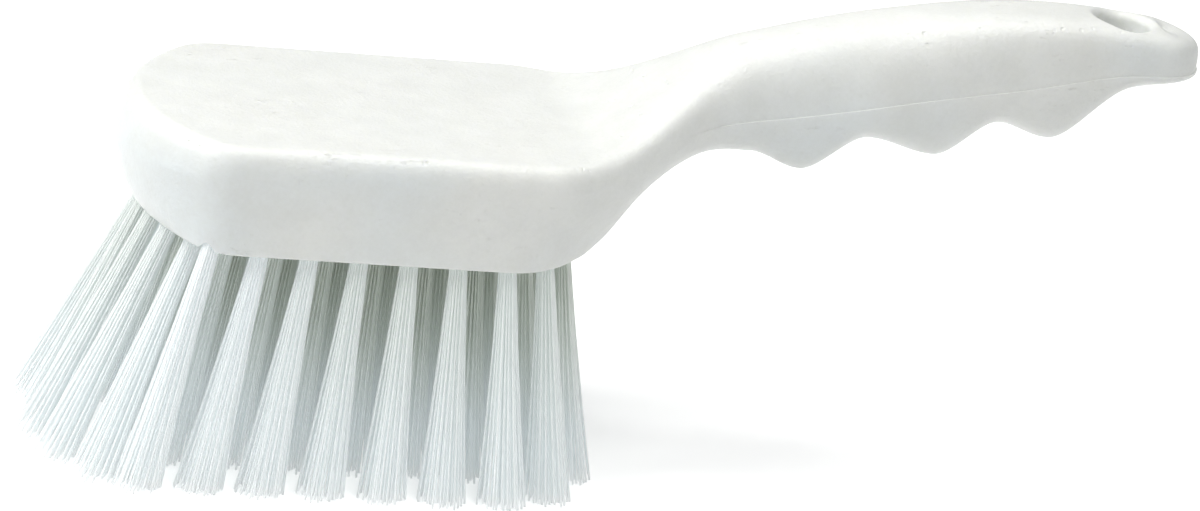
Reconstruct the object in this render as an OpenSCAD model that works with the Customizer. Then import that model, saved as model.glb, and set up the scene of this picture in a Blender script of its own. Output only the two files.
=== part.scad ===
// Hand scrub brush: a one-piece moulded block and handle, with drilled tufts of
// bristle that are each folded over a flat metal staple at the bottom of their hole.
// Millimetres. +Z is up, the handle points along +X and the bristle tips stand on z = 0.

/* [Block] */
// Width of the block
block_w = 70; // [60:0.5:80]
// Height of the block, from the underside to the flat top
block_h = 23.4; // [20:0.2:28]
// Distance from the middle of the block to the tip of its rounded toe
toe_reach = 64.4; // [60:0.2:70]
// Radius of the toe's arc seen from above
toe_r = 43; // [40:0.5:56]
// Radius of the two corners between the toe and the long sides
corner_r = 12; // [9:0.5:18]
// How far the long sides draw in from the top edge to the underside
side_draft = 1.4; // [0.8:0.1:2.5]
// How far the toe wall draws in from the top edge to the underside
toe_draft = 5.8; // [3:0.2:7]
// Rounding of the top edge along the sides: how far in and how far down it reaches
edge_round = [3.4, 5.2]; // [3:0.1:6]
// How much further in and down the rounding reaches at the toe
toe_round = [2, 3.5]; // [0:0.1:5]
// Outward bow of the toe wall between its rounding and the underside
toe_bow = 0.35; // [0:0.05:0.8]

/* [Handle] */
// Distance from the middle of the block to the end of the handle
handle_reach = 166.9; // [162:0.2:180]
// Where the straight sides end and the neck starts
neck_start = 22; // [16:1:28]
// Where the neck has narrowed to the handle
neck_end = 62; // [56:1:70]
// Width of the handle behind the neck, at the fingers and at its end
handle_w = [27, 25.6, 20]; // [19:0.2:32]
// Radius of the arc that the handle's back follows
back_r = 196; // [160:1:260]
// Highest place of the back: along the handle, and above the underside of the block
back_top = [133, 55.2]; // [50:0.1:140]
// Places of the three finger bumps along the handle
bump_x = [81.3, 110.2, 134.9]; // [76:0.1:140]
// Heights of the bump tips above the underside of the block
bump_z = [17.1, 22.2, 27.7]; // [15:0.1:32]
// Depth of the finger hollows between the bumps
hollow_depth = 5.7; // [3:0.1:8]
// Diameter of the hole that the brush hangs from
hang_hole_d = 12; // [6:0.5:13]
// Distance from the middle of the block to the middle of the hanging hole
hang_hole_x = 149; // [146:0.5:151]

/* [Bristles] */
// Free length of the bristles, from the block's underside to the trimmed tips
trim_len = 50.5; // [35:0.5:60]
// Diameter of each drilled hole and of the bundle in it
tuft_d = 4.4; // [4:0.1:4.6]
// Depth of each hole along its own axis
hole_depth = 13; // [10:0.5:14]
// Distance between the holes along a row
row_pitch = 10.3; // [9.8:0.1:10.6]
// Height of the point above the underside that all the holes aim at
focus_h = 212; // [180:1:400]
// Extra outward slope of the tufts on the toe
toe_flare = 0.115; // [0:0.005:0.14]
// Share by which that slope grows on the tufts half way round to the corners
corner_flare = 0.6; // [0:0.1:0.8]
// Radius of a tuft at its tips, to the middle of the outer strands
fan_r = 4.5; // [3.5:0.1:4.8]
// Width of a strand where it leaves the hole and at its tip
strand_w = [0.75, 1.15]; // [0.5:0.05:1.3]

/* [Staples] */
// Length, thickness and height of the flat staple in each hole
staple = [5.6, 0.5, 2.2]; // [0.4:0.1:6]
// Gap between the staple and the bottom of its hole
staple_gap = 0.6; // [0.2:0.1:1.5]

/* [Hidden] */
block_colour = "#f1f3ef";
bristle_colour = "#e8edeb";
staple_colour = "#b4b8bc";
$fn = 48;

half_w = block_w / 2;
part_z = block_h - edge_round[1];
part_step = 0.25;
foot_inset = 3.6;
toe_inset = 3;
row_y = [half_w - side_draft - foot_inset, 18.5, 6.2];
row_x = -45.5;
row_count = [7, 7, 8];

// Smooth step from 0 at a to 1 at b
function ease(x, a, b) = let (t = max(0, min(1, (x - a) / (b - a)))) t * t * (3 - 2 * t);

// Slope of a curve through the knots at knot i, level where the curve turns round
function knot_slope(k, i) =
    i == 0 ? 0 :
    let (before = (k[i][1] - k[i - 1][1]) / (k[i][0] - k[i - 1][0]))
    i == len(k) - 1 ? before :
    let (after = (k[i + 1][1] - k[i][1]) / (k[i + 1][0] - k[i][0]))
    before * after <= 0 ? 0 :
    let (a = k[i][0] - k[i - 1][0], b = k[i + 1][0] - k[i][0])
    (before * b + after * a) / (a + b);

// Height at x of a smooth curve through the knots [x, height]
function along(k, x, i = 0) =
    x <= k[0][0] ? k[0][1] :
    i >= len(k) - 1 ? k[len(k) - 1][1] :
    x > k[i + 1][0] ? along(k, x, i + 1) :
    let (h = k[i + 1][0] - k[i][0], t = (x - k[i][0]) / h)
    (1 + 2 * t) * (1 - t) * (1 - t) * k[i][1] + t * (1 - t) * (1 - t) * h * knot_slope(k, i)
    + t * t * (3 - 2 * t) * k[i + 1][1] + t * t * (t - 1) * h * knot_slope(k, i + 1);

// Side view. The back is flat over the block, rises through the neck and follows its arc
arc_from = 65.5;
rise_from = 29.5;
function back_arc(x) = back_top[1] - (x - back_top[0]) * (x - back_top[0]) / (2 * back_r);
function back_rise(x) =
    let (h = arc_from - rise_from, t = (x - rise_from) / h, slope = (back_top[0] - arc_from) / back_r)
    block_h + (back_arc(arc_from) - block_h) * t * t * (3 - 2 * t) + t * t * (t - 1) * h * slope;
function back_z(x) = x <= rise_from ? block_h : x < arc_from ? back_rise(x) : back_arc(x);

// The underside is flat for the bristles, then rises to the finger bumps and hollows
belly = [
    [32.5, 0], [38, 2], [45, 11], [57, 19.6], [69.5, bump_z[0] + 3.5],
    [bump_x[0], bump_z[0]],
    [(bump_x[0] + bump_x[1]) / 2 - 1, (bump_z[0] + bump_z[1]) / 2 + hollow_depth],
    [bump_x[1], bump_z[1]],
    [(bump_x[1] + bump_x[2]) / 2 + 0.5, (bump_z[1] + bump_z[2]) / 2 + hollow_depth],
    [bump_x[2], bump_z[2]],
    [bump_x[2] + 15.3, bump_z[2] + 12.8], [handle_reach - 9, bump_z[2] + 14.5],
    [handle_reach, bump_z[2] + 15]
];
function belly_z(x) = along(belly, x);

// The line where the two halves of the mould meet, which is the widest place of each section
parting = [
    [28, part_z], [55, part_z + 8.8], [78, part_z + 12.6], [103, part_z + 18], [129, part_z + 22.6],
    [148, part_z + 26.4], [handle_reach, part_z + 27]
];
function parting_z(x) = along(parting, x) - toe_round[1] * toe_part(x);

// Half widths of the underside, which narrows behind the heel to the edge under the fingers
foot = [
    [16, half_w - side_draft], [24.6, half_w - 4.3], [28, half_w - 7.2], [32, half_w - 12],
    [38, 15.5], [46, 10.3], [58, 5], [80, 3.5], [handle_reach, 3]
];

// Plan outline of one half, from the toe's tip round the side to the handle's end
toe_centre = toe_r - toe_reach;
corner_y = half_w - corner_r;
corner_x = toe_centre - sqrt((toe_r - corner_r) * (toe_r - corner_r) - corner_y * corner_y);
meet_angle = atan2(corner_y, toe_centre - corner_x);
end_r = handle_w[2] / 2;
end_centre = handle_reach - end_r;
widths = [
    [neck_start, half_w], [neck_end, handle_w[0] / 2], [100, handle_w[1] / 2], [end_centre, end_r]
];
toe_steps = 8;
corner_steps = 6;
neck_steps = 14;
grip_steps = 34;
end_steps = 7;
outline = concat(
    [for (i = [0 : toe_steps])
        let (a = meet_angle * i / toe_steps) [toe_centre - toe_r * cos(a), toe_r * sin(a)]],
    [for (i = [1 : corner_steps])
        let (a = meet_angle + (90 - meet_angle) * i / corner_steps)
        [corner_x - corner_r * cos(a), corner_y + corner_r * sin(a)]],
    [for (x = [-25, 0, 16]) [x, half_w]],
    [for (i = [0 : neck_steps])
        let (x = neck_start + (neck_end - neck_start) * i / neck_steps) [x, along(widths, x)]],
    [for (i = [1 : grip_steps])
        let (x = neck_end + (end_centre - neck_end) * i / grip_steps) [x, along(widths, x)]],
    [for (i = [1 : end_steps])
        let (a = 90 * (1 - i / end_steps)) [end_centre + end_r * cos(a), end_r * sin(a)]]
);
last = len(outline) - 1;
loop = concat(outline, [for (i = [last - 1 : -1 : 1]) [outline[i][0], -outline[i][1]]]);

// The spine is the line inside the outline that every section shrinks towards
spine_from = 30 - toe_reach;
function spine(p) = [max(spine_from, min(end_centre, p[0])), 0];
function shrink(p, d) =
    let (s = spine(p), span = norm(s - p))
    p + (s - p) * min(d, 0.97 * span) / span;

// How far a station is from the block, 0, towards the full handle, 1, and towards the toe
function handle_part(x) = ease(x, 30, 64);
function toe_part(x) = 1 - ease(x, 2 - toe_reach, 26 - toe_reach);

// Draw-in at the underside, and the bow of the wall between it and the parting line
function foot_in(p) =
    let (span = norm(spine(p) - p), tail = max(0, p[0] - end_centre))
    p[0] < 16 ? side_draft + toe_part(p[0]) * (toe_draft - side_draft) :
    max(side_draft, span - along(foot, p[0]) * (tail > 0 ? abs(p[1]) / end_r : 1));
function lower_point(p, a) =
    let (power = 2 / (1 + 1.3 * ease(p[0], 22, 60) + toe_bow * toe_part(p[0])), bottom = belly_z(p[0]))
    let (q = shrink(p, foot_in(p) * (1 - pow(cos(a), power))))
    [q[0], q[1], bottom + (parting_z(p[0]) - bottom) * (1 - pow(sin(a), power))];

// Rounding of the top edge, which becomes the whole crown of the handle, flatter round the hanging hole
function crown(x) = 2 + 0.35 * handle_part(x) + 2.2 * ease(x, 95, 140);
function upper_point(p, a) =
    let (h = handle_part(p[0]), power = 2 / crown(p[0]), top = back_z(p[0]))
    let (round_in = edge_round[0] + toe_round[0] * toe_part(p[0]))
    let (span = norm(spine(p) - p), reach = (1 - h) * round_in + h * 0.95 * span)
    let (round_down = top - part_z + toe_round[1] * toe_part(p[0]))
    let (drop = (1 - h) * round_down + h * (top - parting_z(p[0])))
    let (q = shrink(p, part_step + reach * (1 - pow(cos(a), power))))
    [q[0], q[1], top - min(drop, top - parting_z(p[0])) * (1 - pow(sin(a), power))];

lower_rings = 6;
upper_rings = 7;
body_points = concat(
    [for (r = [0 : lower_rings]) for (p = loop) lower_point(p, 90 - 90 * r / lower_rings)],
    [for (r = [0 : upper_rings]) for (p = loop) upper_point(p, 90 * r / upper_rings)]
);

// Faces: bands between the rings, and strips across the underside and the back
around = len(loop);
ring_total = lower_rings + upper_rings + 2;
function other(i) = i == 0 || i == last ? i : around - i;
function strip(base, up) = [
    for (i = [0 : last - 1])
        let (a = base + i, b = base + i + 1, c = base + other(i + 1), d = base + other(i))
        for (f = [[a, b, c], [a, c, d]])
            if (f[0] != f[1] && f[1] != f[2] && f[2] != f[0]) up ? [f[2], f[1], f[0]] : f
];
body_faces = concat(
    strip(0, true),
    [for (r = [0 : ring_total - 2]) for (i = [0 : around - 1])
        let (a = r * around + i, b = r * around + (i + 1) % around)
        for (f = [[a, b, b + around], [a, b + around, a + around]]) f],
    strip((ring_total - 1) * around, false)
);

// Tuft holes: the outer ring round the toe and heel, and the lengthwise rows inside it
toe_ring_r = toe_r - toe_draft - toe_inset;
toe_step = 13.3;
toe_angles = [for (k = [-3 : 3]) toe_step * k];
heel_holes = [[24.8, 26.8], [29.8, 17.2]];
holes = concat(
    [for (a = toe_angles) [toe_centre - toe_ring_r * cos(a), toe_ring_r * sin(a)]],
    [for (row = [0 : 2]) for (i = [0 : row_count[row] - 1]) for (side = [-1, 1])
        [row_x + row_pitch * (i + (row == 1 ? 0.5 : 0)), side * row_y[row]]],
    [for (h = heel_holes) for (side = [-1, 1]) [h[0], side * h[1]]]
);

// Slope of a tuft: how far it runs along X and Y for each millimetre that it runs down.
// All aim at the focus, and the toe's tufts lean out further, most of all half way to the corners
function slope(n) =
    let (h = holes[n], out = [h[0] - toe_centre, h[1]])
    n >= len(toe_angles) ? h / focus_h :
    let (flare = toe_flare * (1 + corner_flare * sin(45 * abs(toe_angles[n]) / toe_step)))
    h / focus_h + out / norm(out) * flare;

// Strands of a tuft: three inside and six outside, turned a little from tuft to tuft
inner_strands = 3;
outer_strands = 6;
root_r = [0.65, tuft_d / 2 - 0.6];
tip_r = [0.42 * fan_r, fan_r];
strands = concat(
    [for (k = [0 : inner_strands - 1]) [0, 30 + 360 * k / inner_strands]],
    [for (k = [0 : outer_strands - 1]) [1, 360 * k / outer_strands]]
);
turn = 37;
strand_start = 1;
plug_end = 0.8;
function strand_at(n, s, z) =
    let (h = holes[n], a = s[1] + turn * n, part = -z / trim_len)
    let (r = root_r[s[0]] + (tip_r[s[0]] - root_r[s[0]]) * part)
    [h[0] - slope(n)[0] * z + r * cos(a), h[1] - slope(n)[1] * z + r * sin(a), z];

// The brush is centred between its toe-most bristle and the end of its handle
tips_x = [for (n = [0 : len(holes) - 1]) for (s = strands) strand_at(n, s, -trim_len)[0]];
shift = [-(min(tips_x) - strand_w[1] / 2 + handle_reach) / 2, 0, trim_len];

tuft_names = [for (n = [0 : len(holes) - 1]) str("tuft_", n < 9 ? "0" : "", n + 1)];

// Puts the children's -Z along the axis of hole n, with z = 0 on the underside
module in_hole(n) {
    h = holes[n];
    s = slope(n);
    translate([h[0], h[1], 0])
        rotate([0, 0, atan2(s[1], s[0])])
            rotate([0, -atan(norm(s)), 0])
                rotate([0, 0, -atan2(s[1], s[0])])
                    children();
}

module staple_plate() {
    translate([-staple[0] / 2, -staple[1] / 2, hole_depth - staple_gap - staple[2]])
        cube(staple);
}

module tuft_hole() {
    translate([0, 0, -3])
        cylinder(h = hole_depth + 3, d = tuft_d);
    staple_plate();
}

module block_and_handle() {
    color(block_colour)
        translate(shift)
            difference() {
                polyhedron(points = body_points, faces = body_faces, convexity = 6);
                for (n = [0 : len(holes) - 1])
                    in_hole(n)
                        tuft_hole();
                translate([hang_hole_x, 0, 0])
                    cylinder(h = 80, d = hang_hole_d);
            }
}

module staples() {
    color(staple_colour)
        translate(shift)
            for (n = [0 : len(holes) - 1])
                in_hole(n)
                    staple_plate();
}

// One strand with four sides, widening a little from the hole to its flat tip
module strand(n, s) {
    top = strand_at(n, s, strand_start);
    tip = strand_at(n, s, -trim_len);
    corners = [[-1, -1, 0], [1, -1, 0], [1, 1, 0], [-1, 1, 0]];
    polyhedron(
        points = concat(
            [for (c = corners) tip + c * strand_w[1] / 2],
            [for (c = corners) top + c * strand_w[0] / 2]
        ),
        faces = concat(
            [[0, 1, 2], [0, 2, 3], [4, 6, 5], [4, 7, 6]],
            [for (k = [0 : 3]) let (m = (k + 1) % 4) for (f = [[k, k + 4, m], [m, k + 4, m + 4]]) f]
        )
    );
}

module tuft(n) {
    color(bristle_colour)
        translate(shift)
            union() {
                difference() {
                    in_hole(n)
                        translate([0, 0, -plug_end])
                            cylinder(h = hole_depth + plug_end, d = tuft_d);
                    in_hole(n)
                        staple_plate();
                }
                for (s = strands)
                    strand(n, s);
            }
}

block_and_handle();
staples();
for (n = [0 : len(holes) - 1])
    tuft(n);
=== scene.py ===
import bpy
import math
import numpy as np
from mathutils import Matrix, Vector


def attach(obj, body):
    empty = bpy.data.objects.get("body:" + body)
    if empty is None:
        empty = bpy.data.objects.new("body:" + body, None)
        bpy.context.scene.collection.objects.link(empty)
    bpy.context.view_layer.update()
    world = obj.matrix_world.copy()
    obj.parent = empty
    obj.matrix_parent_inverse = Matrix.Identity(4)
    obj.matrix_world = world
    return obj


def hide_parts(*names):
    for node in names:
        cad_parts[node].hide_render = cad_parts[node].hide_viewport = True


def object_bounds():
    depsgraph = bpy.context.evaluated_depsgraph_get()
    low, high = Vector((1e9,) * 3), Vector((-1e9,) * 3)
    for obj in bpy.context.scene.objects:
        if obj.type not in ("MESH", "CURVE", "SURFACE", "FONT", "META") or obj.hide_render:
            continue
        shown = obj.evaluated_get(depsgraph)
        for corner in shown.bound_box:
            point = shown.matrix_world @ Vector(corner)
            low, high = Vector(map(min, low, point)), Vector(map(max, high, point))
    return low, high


# hand scrub brush: white moulded block and handle with drilled, stapled bristle tufts
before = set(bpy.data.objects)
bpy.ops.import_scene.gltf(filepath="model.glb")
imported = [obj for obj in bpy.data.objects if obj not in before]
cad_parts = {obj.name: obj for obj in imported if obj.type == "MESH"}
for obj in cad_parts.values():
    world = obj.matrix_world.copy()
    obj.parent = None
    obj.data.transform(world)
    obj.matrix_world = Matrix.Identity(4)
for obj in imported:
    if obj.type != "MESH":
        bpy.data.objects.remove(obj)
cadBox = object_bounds()
mm = 0.001


# shared maths

def ease(x, a, b):
    # smooth step: t squared times three minus two t, with t running from 0 at a to 1 at b
    t = np.clip((np.asarray(x, float) - a) / (b - a), 0.0, 1.0)
    return t * t * (3.0 - 2.0 * t)


def knotSlopes(knots):
    # slope at each knot: the chords before and after weighted by the other's length, zero where they turn
    x, y = knots[:, 0], knots[:, 1]
    step = np.diff(x)
    chord = np.diff(y) / step
    inner = (chord[:-1] * step[1:] + chord[1:] * step[:-1]) / (step[1:] + step[:-1])
    inner = np.where(chord[:-1] * chord[1:] <= 0.0, 0.0, inner)
    return np.concatenate([[0.0], inner, [chord[-1]]])


def along(knots, x):
    # cubic Hermite curve through the knots [x, height], held level outside them
    knots = np.asarray(knots, float)
    slopes = knotSlopes(knots)
    x = np.clip(x, knots[0, 0], knots[-1, 0])
    i = np.clip(np.searchsorted(knots[:, 0], x, side="left") - 1, 0, len(knots) - 2)
    h = knots[i + 1, 0] - knots[i, 0]
    t = (x - knots[i, 0]) / h
    return ((1 + 2 * t) * (1 - t) ** 2 * knots[i, 1] + t * (1 - t) ** 2 * h * slopes[i]
            + t * t * (3 - 2 * t) * knots[i + 1, 1] + t * t * (t - 1) * h * slopes[i + 1])


def arcPoints(centre, radius, fromAngle, toAngle, count):
    # points on a circle: centre minus radius times cosine, radius times sine
    a = np.radians(np.linspace(fromAngle, toAngle, count))
    return np.stack([centre[0] - radius * np.cos(a), centre[1] + radius * np.sin(a)], axis=1)


def makeObject(name, points, faces, material):
    mesh = bpy.data.meshes.new(name)
    mesh.from_pydata(points.tolist(), [], faces)
    mesh.validate()
    mesh.update()
    mesh.materials.append(material)
    mesh.polygons.foreach_set("use_smooth", [True] * len(mesh.polygons))
    made = bpy.data.objects.new(name, mesh)
    bpy.context.collection.objects.link(made)
    return made


def gridFaces(rings, around):
    # quads between neighbouring rings: outward when the rings rise and run clockwise seen from above,
    # and reversed by the caller where they run the other way
    i = np.arange(around)
    j = (i + 1) % around
    base = (np.arange(rings - 1) * around)[:, None]
    return np.stack([base + i, base + around + i, base + around + j, base + j], axis=-1).reshape(-1, 4)


# block and handle, in millimetres from the middle of the block's underside

block = {
    "width": 70.0,
    "height": 23.4,
    "toeReach": 64.4,
    "toeRadius": 43.0,
    "cornerRadius": 12.0,
    "sideDraft": 1.4,
    "toeDraft": 5.8,
    "edgeRound": (3.4, 5.2),
    "toeRound": (2.0, 3.5),
    "toeBow": 0.35,
    "footRound": 0.25,
    "wallRings": 26,
    "crownRings": 30,
}
handle = {
    "reach": 166.9,
    "neckStart": 22.0,
    "neckEnd": 62.0,
    "middleX": 100.0,
    "widths": (27.0, 25.6, 20.0),
    "backRadius": 196.0,
    "backTop": (133.0, 55.2),
    "bumpX": (81.3, 110.2, 134.9),
    "bumpZ": (17.1, 22.2, 27.7),
    "hollowDepth": 5.7,
    "partingStep": 0.30,
    "holeDiameter": 12.0,
    "holeX": 149.0,
    "holeRim": 1.8,
}
bristles = {
    "trim": 50.5,
    "tuftDiameter": 4.4,
    "holeDepth": 13.0,
    "rowPitch": 10.3,
    "focus": 212.0,
    "toeFlare": 0.115,
    "cornerFlare": 0.6,
    "rowStart": -45.5,
    "rowCounts": (7, 7, 8),
    "innerRows": (18.5, 6.2),
    "footInset": 3.6,
    "toeInset": 3.0,
    "toeAngleStep": 13.3,
    "heelHoles": ((24.8, 26.8), (29.8, 17.2)),
    "filament": 0.50,
    "bundleRadius": 1.93,
    "fanRadius": 4.9,
    "fanAlong": 1.22,
    "ragged": 0.9,
    "bow": 0.03,
    "tipScatter": 0.06,
    "strayShare": 0.015,
    "strayReach": 1.8,
    "spotJitter": 0.02,
    "swing": 0.012,
    "foldDepths": (9.6, 12.2, 12.55),
    "foldSpread": 0.2,
    "filamentSides": 5,
    "mouthFlare": 0.15,
    "boxMargin": 0.35,
    "seed": 7,
}

halfWidth = block["width"] / 2
partingBase = block["height"] - block["edgeRound"][1]
riseFrom, arcFrom = 29.5, 65.5
toeCentre = block["toeRadius"] - block["toeReach"]
endRadius = handle["widths"][2] / 2
endCentre = handle["reach"] - endRadius
spineFrom = 30.0 - block["toeReach"]


def toePart(x):
    # one round the toe, easing to nothing along the sides
    return 1 - ease(x, 2 - block["toeReach"], 26 - block["toeReach"])


def backHeight(x):
    # flat over the block, then a cubic rise that meets the arc: top minus distance squared over two radii
    topX, topZ = handle["backTop"]
    arc = topZ - (x - topX) ** 2 / (2 * handle["backRadius"])
    h = arcFrom - riseFrom
    t = (x - riseFrom) / h
    meet = topZ - (arcFrom - topX) ** 2 / (2 * handle["backRadius"])
    slope = (topX - arcFrom) / handle["backRadius"]
    rise = block["height"] + (meet - block["height"]) * t * t * (3 - 2 * t) + t * t * (t - 1) * h * slope
    return np.where(x <= riseFrom, block["height"], np.where(x < arcFrom, rise, arc))


def bellyHeight(x):
    # flat over the bristles, then through the bump tips with a hollow between each pair
    bx, bz, deep = handle["bumpX"], handle["bumpZ"], handle["hollowDepth"]
    knots = [[32.5, 0], [38, 2], [45, 11], [57, 19.6], [69.5, bz[0] + 3.5], [bx[0], bz[0]],
             [(bx[0] + bx[1]) / 2 - 1, (bz[0] + bz[1]) / 2 + deep], [bx[1], bz[1]],
             [(bx[1] + bx[2]) / 2 + 0.5, (bz[1] + bz[2]) / 2 + deep], [bx[2], bz[2]],
             [bx[2] + 15.3, bz[2] + 12.8], [handle["reach"] - 9, bz[2] + 14.5], [handle["reach"], bz[2] + 15]]
    return along(knots, x)


def partingHeight(x):
    # level round the block and then up the side of the handle, where each section is widest
    rises = [[28, 0], [55, 8.8], [78, 12.6], [103, 18], [129, 22.6], [148, 26.4], [handle["reach"], 27]]
    return partingBase + along(rises, x) - block["toeRound"][1] * toePart(x)


def footHalfWidth(x):
    # half width of the underside, drawn in behind the heel to the edge under the fingers
    knots = [[16, halfWidth - block["sideDraft"]], [24.6, halfWidth - 4.3], [28, halfWidth - 7.2],
             [32, halfWidth - 12], [38, 15.5], [46, 10.3], [58, 5], [80, 3.5], [handle["reach"], 3]]
    return along(knots, x)


def gripHalfWidth(x):
    # from the straight sides through the neck and the middle of the handle to its round end
    first, middle, last = (w / 2 for w in handle["widths"])
    knots = [[handle["neckStart"], halfWidth], [handle["neckEnd"], first], [handle["middleX"], middle],
             [endCentre, last]]
    return along(knots, x)


def planOutline():
    # half outline: toe arc, corner arc, straight side, eased neck and handle, and a half circle at the end
    cornerY = halfWidth - block["cornerRadius"]
    cornerX = toeCentre - math.sqrt((block["toeRadius"] - block["cornerRadius"]) ** 2 - cornerY ** 2)
    meet = math.degrees(math.atan2(cornerY, toeCentre - cornerX))
    toe = arcPoints((toeCentre, 0.0), block["toeRadius"], 0, meet, 46)
    corner = arcPoints((cornerX, cornerY), block["cornerRadius"], meet, 90, 26)[1:]
    sideX = np.linspace(corner[-1, 0], handle["neckStart"], 40)[1:]
    side = np.stack([sideX, np.full_like(sideX, halfWidth)], axis=1)
    gripX = np.linspace(handle["neckStart"], endCentre, 200)[1:]
    grip = np.stack([gripX, gripHalfWidth(gripX)], axis=1)
    end = arcPoints((endCentre, 0.0), endRadius, 90, 180, 30)[1:]
    end[-1, 1] = 0.0
    half = np.concatenate([toe, corner, side, grip, end])
    return half, np.concatenate([half, half[-2:0:-1] * [1, -1]])


def shrink(loop, depth):
    # each point moves towards the spine, the middle line inside the outline
    spine = np.stack([np.clip(loop[:, 0], spineFrom, endCentre), np.zeros(len(loop))], axis=1)
    inward = spine - loop
    span = np.linalg.norm(inward, axis=1)
    move = np.minimum(depth, 0.97 * span) / span
    return loop + inward * move[:, None], span


def wallDepth(loop, span):
    # draw-in at the underside: the draft round the block, and down to the foot's width behind the heel
    x, y = loop[:, 0], np.abs(loop[:, 1])
    draft = block["sideDraft"] + toePart(x) * (block["toeDraft"] - block["sideDraft"])
    foot = footHalfWidth(x) * np.where(x > endCentre, y / endRadius, 1.0)
    return np.where(x < 16, draft, np.maximum(block["sideDraft"], span - foot))


def lowerRing(loop, angle):
    # wall from the underside to the parting line: a superellipse, straight on the block, round on the handle
    x = loop[:, 0]
    power = 2 / (1 + 1.3 * ease(x, 22, 60) + block["toeBow"] * toePart(x))
    span = shrink(loop, np.zeros(len(loop)))[1]
    bottom = bellyHeight(x)
    rise = (partingHeight(x) - bottom) * (1 - math.sin(angle) ** power)
    under = np.clip(1 - rise / block["footRound"], 0, 1)
    rounding = block["footRound"] * (1 - np.sqrt(1 - under ** 2)) * (1 - ease(x, 30, 50))
    depth = wallDepth(loop, span) * (1 - max(math.cos(angle), 0.0) ** power) + rounding
    return np.column_stack([shrink(loop, depth)[0], bottom + rise])


def crown(x):
    # exponent of the crown's superellipse, boxier round the hanging hole
    return 2 + 0.35 * ease(x, 30, 64) + 2.2 * ease(x, 95, 140)


def upperRing(loop, angle):
    # top rounding: a quarter ellipse on the block that grows into the whole crown of the handle
    x = loop[:, 0]
    part, toe = ease(x, 30, 64), toePart(x)
    power = 2 / crown(x)
    span = shrink(loop, np.zeros(len(loop)))[1]
    top, seam = backHeight(x), partingHeight(x)
    reach = (1 - part) * (block["edgeRound"][0] + block["toeRound"][0] * toe) + part * 0.95 * span
    down = top - partingBase + block["toeRound"][1] * toe
    drop = np.minimum((1 - part) * down + part * (top - seam), top - seam)
    step = handle["partingStep"] * ease(x, 50, 64)
    depth = step + reach * (1 - max(math.cos(angle), 0.0) ** power)
    return np.column_stack([shrink(loop, depth)[0], top - drop * (1 - math.sin(angle) ** power)])


def toFrame(points):
    # from the block's own millimetres to the shared frame's metres
    return (points + np.array([shiftX, 0.0, bristles["trim"]])) * mm


def stripFaces(half, around, base, flip):
    # quads from one side to the other between matching points of the half outline and its mirror
    i = np.arange(half)
    other = np.where((i == 0) | (i == half - 1), i, (around - i) % around)
    quads = np.stack([i[:-1], i[1:], other[1:], other[:-1]], axis=1) + base
    quads = quads[:, ::-1] if flip else quads
    faces = [list(dict.fromkeys(q)) for q in quads.tolist()]
    return [f for f in faces if len(f) > 2]


def surfaceAt(x, y):
    # height of the back above a point near the handle's middle, from the crown's superellipse
    side = gripHalfWidth(x)
    power = 2 / crown(x)
    into = np.clip((side - np.abs(y) - handle["partingStep"]) / (0.95 * side), 0, 1)
    cosine = (1 - into) ** (1 / power)
    sine = np.sqrt(1 - cosine ** 2)
    top = backHeight(x)
    return top - (top - partingHeight(x)) * (1 - sine ** power)


def holeCutter():
    # the hanging hole as a lathe form whose rim flares by a quarter circle where it meets the surface
    r, rim = handle["holeDiameter"] / 2, handle["holeRim"]
    a = np.linspace(0, 2 * np.pi, 96, endpoint=False)
    outX = handle["holeX"] + (r + rim) * np.cos(a)
    outY = (r + rim) * np.sin(a)
    top = surfaceAt(outX, outY)
    bottom = bellyHeight(outX)
    bend = np.radians(np.linspace(0, 90, 9))
    rows = [(r + rim, top + 4.0)]
    rows += [(r + rim * (1 - math.sin(b)), top - rim * (1 - math.cos(b))) for b in bend]
    rows += [(r + rim * (1 - math.sin(b)), bottom + rim * (1 - math.cos(b))) for b in bend[::-1]]
    rows += [(r + rim, bottom - 6.0)]
    rings = [np.column_stack([handle["holeX"] + q * np.cos(a), q * np.sin(a), z]) for q, z in rows]
    points = np.concatenate(rings[::-1])
    faces = gridFaces(len(rings), len(a))[:, ::-1].tolist()
    last = len(points) - len(a)
    faces += [list(range(len(a)))[::-1], list(range(last, last + len(a)))]
    return points, faces


def tuftHoles():
    # holes on the toe's arc, along the lengthwise rows with the second row staggered, and at the heel
    ring = block["toeRadius"] - block["toeDraft"] - bristles["toeInset"]
    angles = np.radians(bristles["toeAngleStep"] * np.arange(-3, 4))
    found = [(toeCentre - ring * math.cos(a), ring * math.sin(a)) for a in angles]
    rows = (halfWidth - block["sideDraft"] - bristles["footInset"],) + bristles["innerRows"]
    for row, y in enumerate(rows):
        for i in range(bristles["rowCounts"][row]):
            x = bristles["rowStart"] + bristles["rowPitch"] * (i + (0.5 if row == 1 else 0.0))
            found += [(x, -y), (x, y)]
    for x, y in bristles["heelHoles"]:
        found += [(x, -y), (x, y)]
    return np.array(found)


def tuftSlopes(holes):
    # run along X and Y per millimetre down: away from the focus, with an extra outward flare on the toe
    out = holes - [toeCentre, 0.0]
    flare = np.zeros(len(holes))
    wave = np.sin(np.radians(45 * np.abs(np.arange(-3, 4))))
    flare[:7] = bristles["toeFlare"] * (1 + bristles["cornerFlare"] * wave)
    return holes / bristles["focus"] + out / np.linalg.norm(out, axis=1)[:, None] * flare[:, None]


def holeAxes(slopes):
    # three axes of each hole: along the staple, across it, and up into the block
    made = []
    for s in slopes:
        turn = Matrix.Rotation(math.atan2(s[1], s[0]), 3, "Z")
        lean = Matrix.Rotation(-math.atan(np.linalg.norm(s)), 3, "Y")
        made.append(np.array(turn @ lean @ turn.transposed()).T)
    return np.array(made)


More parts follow.
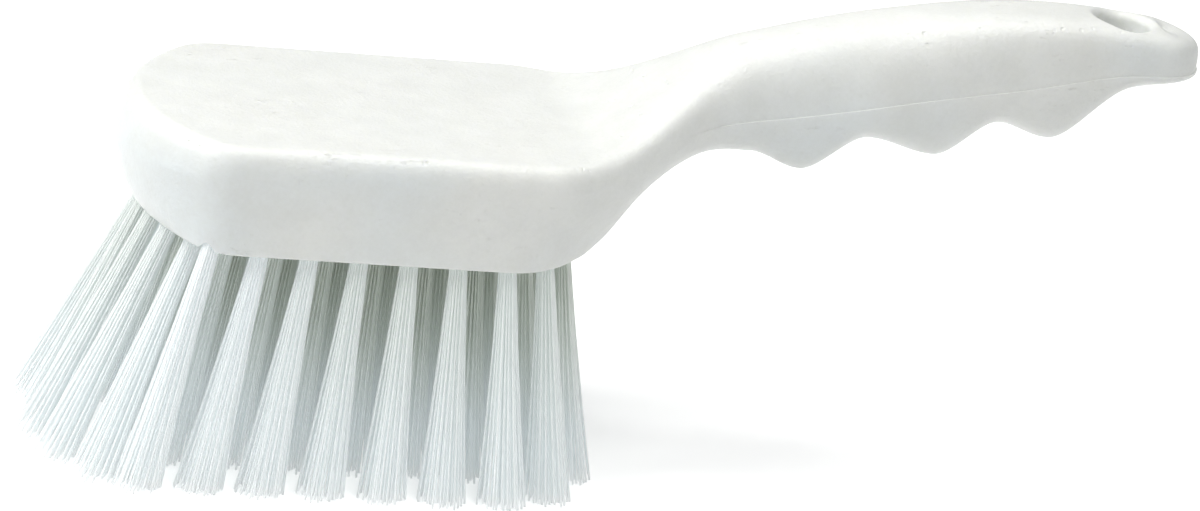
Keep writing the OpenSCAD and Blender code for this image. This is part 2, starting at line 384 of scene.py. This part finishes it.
holes = tuftHoles()
slopes = tuftSlopes(holes)
axes = holeAxes(slopes)
cadLow, cadHigh = (np.array(c) for c in cadBox)
shiftX = cadHigh[0] / mm - handle["reach"]


def drillCutter():
    # one round cutter a hole, with a small chamfer where the drill left the underside
    r, depth = bristles["tuftDiameter"] / 2, bristles["holeDepth"]
    wide = r + bristles["mouthFlare"]
    rows = [(wide, -3.0), (wide, 0.1), (r, 0.4), (r, depth)]
    a = np.linspace(0, 2 * np.pi, 28, endpoint=False)
    rings = [np.column_stack([q * np.cos(a), q * np.sin(a), np.full_like(a, z)]) for q, z in rows]
    local = np.concatenate(rings)
    quads = gridFaces(len(rows), len(a))[:, ::-1].tolist()
    last = len(local) - len(a)
    quads += [list(range(len(a)))[::-1], list(range(last, last + len(a)))]
    points, faces = [], []
    for hole, axis in zip(holes, axes):
        faces += [[v + len(points) * len(local) for v in f] for f in quads]
        points.append(local @ axis + [hole[0], hole[1], 0.0])
    return np.concatenate(points), faces


def cutWith(target, cutter):
    # subtracts the cutter for good and removes it
    step = target.modifiers.new("cut", "BOOLEAN")
    step.operation, step.solver, step.object = "DIFFERENCE", "EXACT", cutter
    graph = bpy.context.evaluated_depsgraph_get()
    result = bpy.data.meshes.new_from_object(target.evaluated_get(graph))
    target.modifiers.clear()
    old = target.data
    target.data = result
    bpy.data.meshes.remove(old)
    bpy.data.objects.remove(cutter)


def buildBlock(material):
    # rings from the underside up to the back, closed by strips and kept inside the measured box, then drilled
    half, loop = planOutline()
    lower = [lowerRing(loop, a) for a in np.radians(np.linspace(90, 0, block["wallRings"]))]
    upper = [upperRing(loop, a) for a in np.radians(np.linspace(0, 90, block["crownRings"]))]
    rings = lower + upper
    points = np.clip(toFrame(np.concatenate(rings)), cadLow, cadHigh)
    around = len(loop)
    faces = gridFaces(len(rings), around).tolist()
    faces += stripFaces(len(half), around, 0, False)
    faces += stripFaces(len(half), around, (len(rings) - 1) * around, True)
    made = makeObject("mouldedBlockAndHandle", points, faces, material)
    for name, (cutPoints, cutFaces) in (("hangCut", holeCutter()), ("drillCut", drillCutter())):
        cutWith(made, makeObject(name, toFrame(cutPoints), cutFaces, material))
    made.data.polygons.foreach_set("use_smooth", [True] * len(made.data.polygons))
    made.data.set_sharp_from_angle(angle=math.radians(38))
    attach(made, "root")
    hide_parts("block_and_handle")
    return made


# bristle tufts

def packedSpots():
    # half a round bundle packed like a honeycomb: rows 0.866 of the spacing apart, every second one shifted
    r, gap = bristles["bundleRadius"], bristles["filament"] * 1.05
    found = []
    for row in range(int(r / gap) + 2):
        y = gap * (0.5 + 0.866 * row)
        for step in range(-8, 9):
            x = gap * (step + 0.5 * (row % 2))
            if math.hypot(x, y) <= r:
                found.append((x, y))
    return np.array(found)


def insideBox(mouth, tip):
    # share of each filament's length, from mouth to tip, that ends inside the measured box
    middle = np.array([shiftX, 0.0])
    low = cadLow[:2] / mm - middle + bristles["boxMargin"]
    high = cadHigh[:2] / mm - middle - bristles["boxMargin"]
    run = tip - mouth
    room = np.where(run < 0, low - mouth, high - mouth)
    return np.clip(np.min(room / np.where(np.abs(run) < 1e-6, 1e-6, run), axis=1), 0.0, 1.0)


def tuftPoints(index, rng):
    # each filament is one strand folded under the staple: tip, mouth, depth, fold, and back out again;
    # with t from mouth to tip it spreads by 0.8 t plus 0.2 t squared and bows by 4 t times one minus t
    r, spot = bristles["bundleRadius"], packedSpots()
    pairs = len(spot)
    spot = spot + rng.normal(0, bristles["spotJitter"], spot.shape)
    hole, axis, slope = holes[index], axes[index], slopes[index]
    outward = slope if index < 7 else np.array([0.0, 1.0])
    level = np.array([-outward[1], outward[0]]) / np.linalg.norm(outward)
    origin = np.array([hole[0], hole[1], 0.0])
    low, lower, lowest = bristles["foldDepths"]
    sides = []
    for sign in (1.0, -1.0):
        start = spot * [1.0, sign]
        reach = np.linalg.norm(start, axis=1)
        way = start / reach[:, None]
        isStray = rng.random(pairs) < bristles["strayShare"]
        stray = np.where(isStray, bristles["strayReach"] * rng.random(pairs), 0.0)
        tipR = bristles["fanRadius"] * (reach / r) + stray * (reach / r)
        tipR = np.maximum(tipR + rng.normal(0, bristles["tipScatter"], pairs), 0.1)
        trim = bristles["trim"] - bristles["ragged"] * rng.random(pairs) ** 2.2
        swing = rng.normal(0, bristles["swing"], pairs)
        turned = np.stack([way[:, 0] - way[:, 1] * swing, way[:, 1] + way[:, 0] * swing], axis=1)
        bow = rng.normal(0, bristles["bow"], (pairs, 2))
        share = insideBox(hole + start, hole + slope * trim[:, None] + turned * tipR[:, None])
        free = []
        for part in (1.0, 0.68, 0.34):
            t = part * share
            down = trim * t
            spread = reach + (tipR - reach) * (0.8 * t + 0.2 * t * t)
            flat = turned * spread[:, None] + bow * (4 * t * (1 - t))[:, None]
            flat += np.outer((flat @ level) * (bristles["fanAlong"] - 1) * t, level)
            free.append(np.column_stack([hole + slope * down[:, None] + flat, -down]))
        mouth = np.column_stack([start, np.zeros(pairs)]) @ axis + origin
        deep = np.column_stack([start * [0.96, 1.0], np.full(pairs, low)]) @ axis + origin
        bend = np.column_stack([start * [0.96, 0.72], np.full(pairs, lower)]) @ axis + origin
        sides.append(free + [mouth, deep, bend])
    height = lowest + bristles["foldSpread"] * rng.random(pairs)
    fold = np.column_stack([spot[:, 0] * 0.96, np.zeros(pairs), height]) @ axis + origin
    path = np.stack(sides[0] + [fold] + sides[1][::-1], axis=1)
    return path, axis[0]


def tubeMesh(path, across, radius, sides):
    # rings round each path: centre plus radius times cosine of the first and sine of the second cross axis
    ahead = np.gradient(path, axis=1)
    ahead /= np.linalg.norm(ahead, axis=2, keepdims=True)
    first = across - ahead * (ahead @ across)[..., None]
    first /= np.linalg.norm(first, axis=2, keepdims=True)
    second = np.cross(ahead, first)
    a = np.linspace(0, 2 * np.pi, sides, endpoint=False)
    ring = first[:, :, None] * np.cos(a)[:, None] + second[:, :, None] * np.sin(a)[:, None]
    points = path[:, :, None] + radius * ring
    count, steps = path.shape[:2]
    one = gridFaces(steps, sides)[:, ::-1]
    base = (np.arange(count) * steps * sides)[:, None, None]
    quads = (one[None] + base).reshape(-1, 4).tolist()
    start = np.arange(sides)[::-1][None] + base[:, :, 0]
    end = np.arange(sides)[None] + (steps - 1) * sides + base[:, :, 0]
    return points, quads + start.tolist() + end.tolist()


def clampTips(points):
    # filaments end on the trim plane and stay inside the measured box
    margin = 0.05
    low = (cadLow / mm - [shiftX, 0.0, bristles["trim"]]) + margin
    high = (cadHigh / mm - [shiftX, 0.0, bristles["trim"]]) - margin
    return np.clip(points, [low[0], low[1], low[2] - margin], high)


def buildTuft(index, material):
    # filamentTone is one random value a filament, towardsTip runs from nought at the mouth to one at the
    # trim, and innerRow grows towards the middle of the block, where the material paints shade near the mouth
    rng = np.random.default_rng(bristles["seed"] + index)
    path, across = tuftPoints(index, rng)
    sides = bristles["filamentSides"]
    points, faces = tubeMesh(path, across, bristles["filament"] / 2, sides)
    pairs, steps = path.shape[:2]
    flat = clampTips(points.reshape(-1, 3))
    inner = 1 - np.hypot(*(holes[index] * [0.55, 1.0])) / halfWidth
    name = "bristleTuft%02d" % (index + 1)
    made = makeObject(name, toFrame(flat), faces, material)
    tone = np.repeat(rng.random((pairs, 1)), steps, axis=1)[:, :, None] * np.ones(sides)
    reach = np.clip(-points[..., 2] / bristles["trim"], 0, 1)
    shade = np.full(reach.shape, float(np.clip(inner * 2.2, 0, 1)))
    for label, values in (("filamentTone", tone), ("towardsTip", reach), ("innerRow", shade)):
        layer = made.data.attributes.new(label, "FLOAT", "POINT")
        layer.data.foreach_set("value", np.ascontiguousarray(values, dtype=np.float32).ravel())
    made.data.set_sharp_from_angle(angle=math.radians(80))
    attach(made, "root")
    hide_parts("tuft_%02d" % (index + 1))
    return made


# materials

def newGroup(name, inputs, outputs):
    # an effect group with named sockets; the first vector input is the place on the piece
    group = bpy.data.node_groups.new(name, "ShaderNodeTree")
    for label, kind, value in inputs:
        socket = group.interface.new_socket(name=label, in_out="INPUT", socket_type=kind)
        if value is not None:
            socket.default_value = value
    for label, kind in outputs:
        group.interface.new_socket(name=label, in_out="OUTPUT", socket_type=kind)
    return group, group.nodes.new("NodeGroupInput"), group.nodes.new("NodeGroupOutput")


def addNode(tree, kind, values=None, **settings):
    node = tree.nodes.new(kind)
    for key, value in settings.items():
        setattr(node, key, value)
    for key, value in (values or {}).items():
        node.inputs[key].default_value = value
    return node


def mathNode(tree, operation, a, b=None, clamp=False):
    node = addNode(tree, "ShaderNodeMath", operation=operation, use_clamp=clamp)
    for socket, value in zip(node.inputs, (a, b)):
        if value is None:
            continue
        if isinstance(value, (int, float)):
            socket.default_value = value
        else:
            tree.links.new(value, socket)
    return node.outputs[0]


def fade(tree, value, low, high, start=0.0, end=1.0):
    # start up to low, end from high on, and a straight line between them
    limits = {"From Min": low, "From Max": high, "To Min": start, "To Max": end}
    node = addNode(tree, "ShaderNodeMapRange", limits)
    tree.links.new(value, node.inputs["Value"])
    return node.outputs["Result"]


def grainGroup():
    # fine moulded grain: two sizes of noise, with small pits taken out of them
    group, into, out = newGroup("mouldedGrain", [("Place", "NodeSocketVector", None),
                                                 ("Size", "NodeSocketFloat", 900.0),
                                                 ("Pits", "NodeSocketFloat", 0.5)],
                                [("Height", "NodeSocketFloat"), ("Pitting", "NodeSocketFloat")])
    fine = addNode(group, "ShaderNodeTexNoise", {"Detail": 3.0, "Roughness": 0.6})
    coarse = addNode(group, "ShaderNodeTexNoise", {"Detail": 2.0, "Roughness": 0.5})
    spots = addNode(group, "ShaderNodeTexVoronoi", {"Randomness": 1.0})
    for node, part in ((fine, 1.0), (coarse, 0.11), (spots, 0.35)):
        group.links.new(into.outputs["Place"], node.inputs["Vector"])
        group.links.new(mathNode(group, "MULTIPLY", into.outputs["Size"], part), node.inputs["Scale"])
    near = fade(group, spots.outputs["Distance"], 0.0, 0.22, 1.0, 0.0)
    rare = mathNode(group, "GREATER_THAN", coarse.outputs["Fac"], 0.52)
    pits = mathNode(group, "MULTIPLY", mathNode(group, "MULTIPLY", near, rare), into.outputs["Pits"])
    both = mathNode(group, "ADD", mathNode(group, "MULTIPLY", fine.outputs["Fac"], 0.5),
                    mathNode(group, "MULTIPLY", coarse.outputs["Fac"], 0.8))
    group.links.new(mathNode(group, "SUBTRACT", both, pits), out.inputs["Height"])
    group.links.new(pits, out.inputs["Pitting"])
    return group


def scuffGroup():
    # handling marks: thin streaks of stretched noise, kept to a few patches
    group, into, out = newGroup("handlingScuffs", [("Place", "NodeSocketVector", None),
                                                   ("Size", "NodeSocketFloat", 120.0),
                                                   ("Amount", "NodeSocketFloat", 0.5)],
                                [("Mask", "NodeSocketFloat")])
    stretch = addNode(group, "ShaderNodeMapping", {"Rotation": (0.0, 0.2, 0.5), "Scale": (1.0, 6.0, 3.0)})
    streak = addNode(group, "ShaderNodeTexNoise", {"Detail": 4.0, "Roughness": 0.7})
    patch = addNode(group, "ShaderNodeTexNoise", {"Detail": 1.0, "Scale": 55.0})
    group.links.new(into.outputs["Place"], stretch.inputs["Vector"])
    group.links.new(stretch.outputs["Vector"], streak.inputs["Vector"])
    group.links.new(into.outputs["Size"], streak.inputs["Scale"])
    group.links.new(into.outputs["Place"], patch.inputs["Vector"])
    thin = fade(group, streak.outputs["Fac"], 0.62, 0.72)
    some = fade(group, patch.outputs["Fac"], 0.5, 0.66)
    mask = mathNode(group, "MULTIPLY", thin, some)
    group.links.new(mathNode(group, "MULTIPLY", mask, into.outputs["Amount"], True), out.inputs["Mask"])
    return group


def fleckGroup():
    # small nicks with a painted glint: rounded cells of a fine cellular pattern, kept where a second noise is
    # above its threshold
    group, into, out = newGroup("nicksAndPaintedGlints", [("Place", "NodeSocketVector", None),
                                               ("Size", "NodeSocketFloat", 600.0),
                                               ("Share", "NodeSocketFloat", 0.4)],
                                [("Mask", "NodeSocketFloat")])
    cells = addNode(group, "ShaderNodeTexVoronoi", {"Randomness": 1.0})
    where = addNode(group, "ShaderNodeTexNoise", {"Detail": 2.0, "Roughness": 0.6})
    for node, part in ((cells, 1.0), (where, 0.45)):
        group.links.new(into.outputs["Place"], node.inputs["Vector"])
        group.links.new(mathNode(group, "MULTIPLY", into.outputs["Size"], part), node.inputs["Scale"])
    dots = fade(group, cells.outputs["Distance"], 0.18, 0.42, 1.0, 0.0)
    some = addNode(group, "ShaderNodeMapRange", {"From Max": 0.75})
    group.links.new(where.outputs["Fac"], some.inputs["Value"])
    group.links.new(mathNode(group, "SUBTRACT", 1.0, into.outputs["Share"]), some.inputs["From Min"])
    mask = mathNode(group, "MULTIPLY", dots, some.outputs["Result"], True)
    group.links.new(mask, out.inputs["Mask"])
    return group


def useGroup(tree, group, place, values):
    node = addNode(tree, "ShaderNodeGroup", node_tree=group)
    tree.links.new(place, node.inputs["Place"])
    for key, value in values.items():
        node.inputs[key].default_value = value
    return node


def mixColour(tree, factor, a, b):
    node = addNode(tree, "ShaderNodeMix", data_type="RGBA")
    for socket, value in ((node.inputs[0], factor), (node.inputs[6], a), (node.inputs[7], b)):
        if isinstance(value, (tuple, float)):
            socket.default_value = value
        else:
            tree.links.new(value, socket)
    return node.outputs[2]


def newMaterial(name):
    material = bpy.data.materials.new(name)
    material.use_nodes = True
    tree = material.node_tree
    return material, tree, tree.nodes["Principled BSDF"]


def plasticMaterial(grain, scuffs, flecks):
    finish = {"colour": (0.795, 0.815, 0.80, 1.0), "warm": (0.815, 0.815, 0.785, 1.0),
              "paintedCoolSideLight": (0.755, 0.805, 0.825, 1.0), "worn": (0.66, 0.67, 0.64, 1.0),
              "nickWithPaintedGlint": (0.95, 0.96, 0.94, 1.0), "roughness": 0.37}
    material, tree, shader = newMaterial("whiteMouldedPlastic")
    place = addNode(tree, "ShaderNodeTexCoord").outputs["Object"]
    fine = useGroup(tree, grain, place, {"Size": 1000.0, "Pits": 0.18})
    marks = useGroup(tree, scuffs, place, {"Size": 260.0, "Amount": 0.8})
    cloud = addNode(tree, "ShaderNodeTexNoise", {"Scale": 26.0, "Detail": 3.0, "Roughness": 0.55})
    tree.links.new(place, cloud.inputs["Vector"])
    tone = mixColour(tree, cloud.outputs["Fac"], finish["colour"], finish["warm"])
    facing = addNode(tree, "ShaderNodeSeparateXYZ")
    tree.links.new(addNode(tree, "ShaderNodeTexCoord").outputs["Normal"], facing.inputs["Vector"])
    haze = addNode(tree, "ShaderNodeTexNoise", {"Scale": 17.0, "Detail": 2.0, "Roughness": 0.5})
    tree.links.new(place, haze.inputs["Vector"])
    patch = fade(tree, haze.outputs["Fac"], 0.40, 0.62)
    # painted cool light: upright faces take a cooler tint in noise patches, standing in for the cool light
    # falling on the sides
    upright = mathNode(tree, "SUBTRACT", 1.0, mathNode(tree, "ABSOLUTE", facing.outputs["Z"]), True)
    coolSideLightPainted = mixColour(tree, mathNode(tree, "MULTIPLY", upright, patch), tone, finish["paintedCoolSideLight"])
    worn = mixColour(tree, mathNode(tree, "MULTIPLY", marks.outputs["Mask"], 0.35), coolSideLightPainted, finish["worn"])
    # painted glint: on the band of faces tilted about 37 degrees from up, where the highlight falls along
    # edges and the crest, nick spots take a near-white colour standing in for a speckled highlight; the bump
    # presses the same spots in as real nicks
    fromEdge = mathNode(tree, "ABSOLUTE", mathNode(tree, "SUBTRACT", facing.outputs["Z"], 0.80))
    glintBand = mathNode(tree, "SUBTRACT", 1.0, mathNode(tree, "MULTIPLY", fromEdge, 5.0), True)
    nickAndGlintCells = useGroup(tree, flecks, place, {"Size": 620.0, "Share": 0.42})
    nickWithPaintedGlint = mathNode(tree, "MULTIPLY", nickAndGlintCells.outputs["Mask"], glintBand)
    speckle = fade(tree, fine.outputs["Height"], 0.50, 0.80, 0.30, 0.0)
    grained = mixColour(tree, speckle, worn, finish["worn"])
    glintPainted = mixColour(tree, mathNode(tree, "MULTIPLY", nickWithPaintedGlint, 0.9), grained, finish["nickWithPaintedGlint"])
    tree.links.new(glintPainted, shader.inputs["Base Color"])
    clouded = mathNode(tree, "MULTIPLY", cloud.outputs["Fac"], 0.10)
    rough = mathNode(tree, "ADD", clouded, finish["roughness"] - 0.05)
    rough = mathNode(tree, "ADD", rough, mathNode(tree, "MULTIPLY", marks.outputs["Mask"], 0.25), True)
    tree.links.new(rough, shader.inputs["Roughness"])
    wave = addNode(tree, "ShaderNodeTexNoise", {"Scale": 75.0, "Detail": 2.0, "Roughness": 0.5})
    tree.links.new(place, wave.inputs["Vector"])
    broad = addNode(tree, "ShaderNodeBump", {"Strength": 0.35, "Distance": 0.00035})
    close = addNode(tree, "ShaderNodeBump", {"Strength": 1.0, "Distance": 0.00028})
    tree.links.new(wave.outputs["Fac"], broad.inputs["Height"])
    lowered = mathNode(tree, "SUBTRACT", fine.outputs["Height"],
                       mathNode(tree, "MULTIPLY", marks.outputs["Mask"], 0.6))
    tree.links.new(mathNode(tree, "SUBTRACT", lowered, mathNode(tree, "MULTIPLY", nickWithPaintedGlint, 1.5)),
                   close.inputs["Height"])
    tree.links.new(broad.outputs["Normal"], close.inputs["Normal"])
    tree.links.new(close.outputs["Normal"], shader.inputs["Normal"])
    shader.inputs["IOR"].default_value = 1.49
    shader.inputs["Subsurface Weight"].default_value = 0.35
    shader.inputs["Subsurface Radius"].default_value = (1.0, 1.0, 0.85)
    shader.inputs["Subsurface Scale"].default_value = 0.002
    return material


def filamentMaterial(grain):
    # deep is a painted shade colour for the mouths of the middle rows
    finish = {"light": (0.88, 0.925, 0.94, 1.0), "dim": (0.80, 0.85, 0.855, 1.0),
              "deep": (0.70, 0.76, 0.64, 1.0), "tip": (0.965, 0.975, 0.968, 1.0),
              "roughness": 0.42, "paintedGlowStrength": 0.14}
    material, tree, shader = newMaterial("bristleFilament")
    place = addNode(tree, "ShaderNodeTexCoord").outputs["Object"]
    tone = addNode(tree, "ShaderNodeAttribute", attribute_name="filamentTone").outputs["Fac"]
    reach = addNode(tree, "ShaderNodeAttribute", attribute_name="towardsTip").outputs["Fac"]
    speck = useGroup(tree, grain, place, {"Size": 900.0, "Pits": 0.2})
    inner = addNode(tree, "ShaderNodeAttribute", attribute_name="innerRow").outputs["Fac"]
    root = fade(tree, reach, 0.05, 0.75, 1.0, 0.0)
    colour = mixColour(tree, tone, finish["dim"], finish["light"])
    # painted shade: filaments of the middle rows take the darker greenish deep colour towards the mouth,
    # standing in for the shade under the block and between the tufts
    colour = mixColour(tree, mathNode(tree, "MULTIPLY", inner, root), colour, finish["deep"])
    tip = fade(tree, reach, 0.94, 1.0)
    colour = mixColour(tree, mathNode(tree, "MULTIPLY", tip, 0.5), colour, finish["tip"])
    tree.links.new(colour, shader.inputs["Base Color"])
    grained = mathNode(tree, "MULTIPLY", speck.outputs["Height"], 0.12)
    rough = mathNode(tree, "ADD", grained, finish["roughness"] - 0.06)
    tree.links.new(rough, shader.inputs["Roughness"])
    bump = addNode(tree, "ShaderNodeBump", {"Strength": 0.06, "Distance": 0.00002})
    tree.links.new(speck.outputs["Height"], bump.inputs["Height"])
    tree.links.new(bump.outputs["Normal"], shader.inputs["Normal"])
    shader.inputs["IOR"].default_value = 1.55
    shader.inputs["Subsurface Weight"].default_value = 0.6
    shader.inputs["Subsurface Radius"].default_value = (1.0, 1.0, 0.95)
    shader.inputs["Subsurface Scale"].default_value = 0.002
    # painted glow: the filaments emit their own colour at up to 0.14, weaker towards the mouth in the middle
    # rows, standing in for light scattered along the translucent strands
    shaded = mathNode(tree, "MULTIPLY", inner, mathNode(tree, "SUBTRACT", 1.0, reach))
    paintedGlowStrength = mathNode(tree, "MULTIPLY", mathNode(tree, "SUBTRACT", 1.0, shaded, True), finish["paintedGlowStrength"])
    tree.links.new(colour, shader.inputs["Emission Color"])
    tree.links.new(paintedGlowStrength, shader.inputs["Emission Strength"])
    return material


def stapleMaterial(grain, scuffs):
    finish = {"colour": (0.60, 0.61, 0.63, 1.0), "dark": (0.42, 0.43, 0.45, 1.0), "roughness": 0.32}
    material, tree, shader = newMaterial("flatStapleWire")
    place = addNode(tree, "ShaderNodeTexCoord").outputs["Object"]
    fine = useGroup(tree, grain, place, {"Size": 2600.0, "Pits": 0.4})
    marks = useGroup(tree, scuffs, place, {"Size": 1500.0, "Amount": 1.0})
    darkened = mathNode(tree, "MULTIPLY", marks.outputs["Mask"], 0.7)
    colour = mixColour(tree, darkened, finish["colour"], finish["dark"])
    tree.links.new(colour, shader.inputs["Base Color"])
    grained = mathNode(tree, "MULTIPLY", fine.outputs["Height"], 0.18)
    rough = mathNode(tree, "ADD", grained, finish["roughness"] - 0.1)
    tree.links.new(rough, shader.inputs["Roughness"])
    bump = addNode(tree, "ShaderNodeBump", {"Strength": 0.25, "Distance": 0.00003})
    tree.links.new(fine.outputs["Height"], bump.inputs["Height"])
    tree.links.new(bump.outputs["Normal"], shader.inputs["Normal"])
    shader.inputs["Metallic"].default_value = 1.0
    return material


# studio

studio = {
    "worldStrength": 0.27,
    "worldTint": (0.97, 1.0, 1.03, 1.0),
    "lightTint": (1.0, 0.995, 0.975),
    "lights": {
        "softKey": {"power": 15.4, "place": (-0.95, 0.02, 1.05), "size": 1.1},
        "frontFill": {"power": 6.8, "place": (0.10, -0.50, 1.34), "size": 0.7},
        "topSpark": {"power": 3.3, "place": (0.15, 0.10, 1.45), "size": 0.25},
    },
    "aim": (0.0, 0.0, 0.06),
    "floorColour": (0.85, 0.85, 0.85, 1.0),
    "floorGlow": 0.42,
    "floorRadius": 8.0,
    "floorPoints": 64,
}
camera = {
    "azimuth": -12.883,
    "elevation": 20.346,
    "roll": 8.175,
    "place": (-202.75, -882.58, 378.69),
    "lens": 135.0,
}


def buildCamera():
    # right, up and back axes from azimuth and elevation, then turned about the view by the roll
    a, e, r = (math.radians(camera[k]) for k in ("azimuth", "elevation", "roll"))
    back = np.array([math.sin(a) * math.cos(e), -math.cos(a) * math.cos(e), math.sin(e)])
    right = np.array([math.cos(a), math.sin(a), 0.0])
    up = np.cross(back, right)
    side = right * math.cos(r) + up * math.sin(r)
    top = up * math.cos(r) - right * math.sin(r)
    data = bpy.data.cameras.new("photoCamera")
    data.lens, data.sensor_width = camera["lens"], 36.0
    data.clip_start, data.clip_end = 0.05, 20.0
    made = bpy.data.objects.new("photoCamera", data)
    bpy.context.collection.objects.link(made)
    turned = Matrix(np.stack([side, top, back], axis=1).tolist()).to_4x4()
    turned.translation = [c * mm for c in camera["place"]]
    made.matrix_world = turned
    bpy.context.scene.camera = made
    return made


def buildFloor():
    # a wide pale disc: points at one radius round the middle
    a = np.linspace(0, 2 * np.pi, studio["floorPoints"], endpoint=False)
    points = studio["floorRadius"] * np.column_stack([np.cos(a), np.sin(a), np.zeros_like(a)])
    material, tree, shader = newMaterial("paleFloor")
    shader.inputs["Base Color"].default_value = studio["floorColour"]
    shader.inputs["Roughness"].default_value = 0.8
    shader.inputs["Specular IOR Level"].default_value = 0.1
    path = addNode(tree, "ShaderNodeLightPath")
    seen = mathNode(tree, "MAXIMUM", path.outputs["Is Camera Ray"], path.outputs["Is Glossy Ray"])
    glow = addNode(tree, "ShaderNodeEmission")
    tree.links.new(mathNode(tree, "MULTIPLY", seen, studio["floorGlow"]), glow.inputs["Strength"])
    both = addNode(tree, "ShaderNodeAddShader")
    tree.links.new(shader.outputs[0], both.inputs[0])
    tree.links.new(glow.outputs[0], both.inputs[1])
    tree.links.new(both.outputs[0], tree.nodes["Material Output"].inputs["Surface"])
    floor = makeObject("paleFloor", points, [list(range(len(a)))], material)
    return floor


def buildLights():
    world = bpy.data.worlds.new("softWorld")
    bpy.context.scene.world = world
    world.use_nodes = True
    sky = world.node_tree.nodes["Background"]
    sky.inputs["Color"].default_value = studio["worldTint"]
    sky.inputs["Strength"].default_value = studio["worldStrength"]
    for name, light in studio["lights"].items():
        data = bpy.data.lights.new(name, "AREA")
        data.shape, data.size, data.energy = "DISK", light["size"], light["power"]
        data.color = studio["lightTint"]
        made = bpy.data.objects.new(name, data)
        bpy.context.collection.objects.link(made)
        place = np.array(light["place"])
        aim = np.array(studio["aim"]) - place
        aim /= np.linalg.norm(aim)
        side = np.cross([0.0, 0.0, 1.0], -aim)
        side /= np.linalg.norm(side)
        turned = Matrix(np.stack([side, np.cross(-aim, side), -aim], axis=1).tolist()).to_4x4()
        turned.translation = place.tolist()
        made.matrix_world = turned


# put together

grain, scuffs, flecks = grainGroup(), scuffGroup(), fleckGroup()
plastic, filament = plasticMaterial(grain, scuffs, flecks), filamentMaterial(grain)
steel = stapleMaterial(grain, scuffs)
print("materials ready")
buildBlock(plastic)
print("block and handle ready")
for index in range(len(holes)):
    buildTuft(index, filament)
print("bristle tufts ready:", len(holes))
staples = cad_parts["staples"]
for place in range(max(1, len(staples.material_slots))):
    if not staples.material_slots:
        staples.data.materials.append(steel)
    staples.material_slots[place].material = steel
print("staples finished")
buildFloor()
buildLights()
buildCamera()
print("studio ready")
bpy.context.scene.view_settings.view_transform = "Standard"
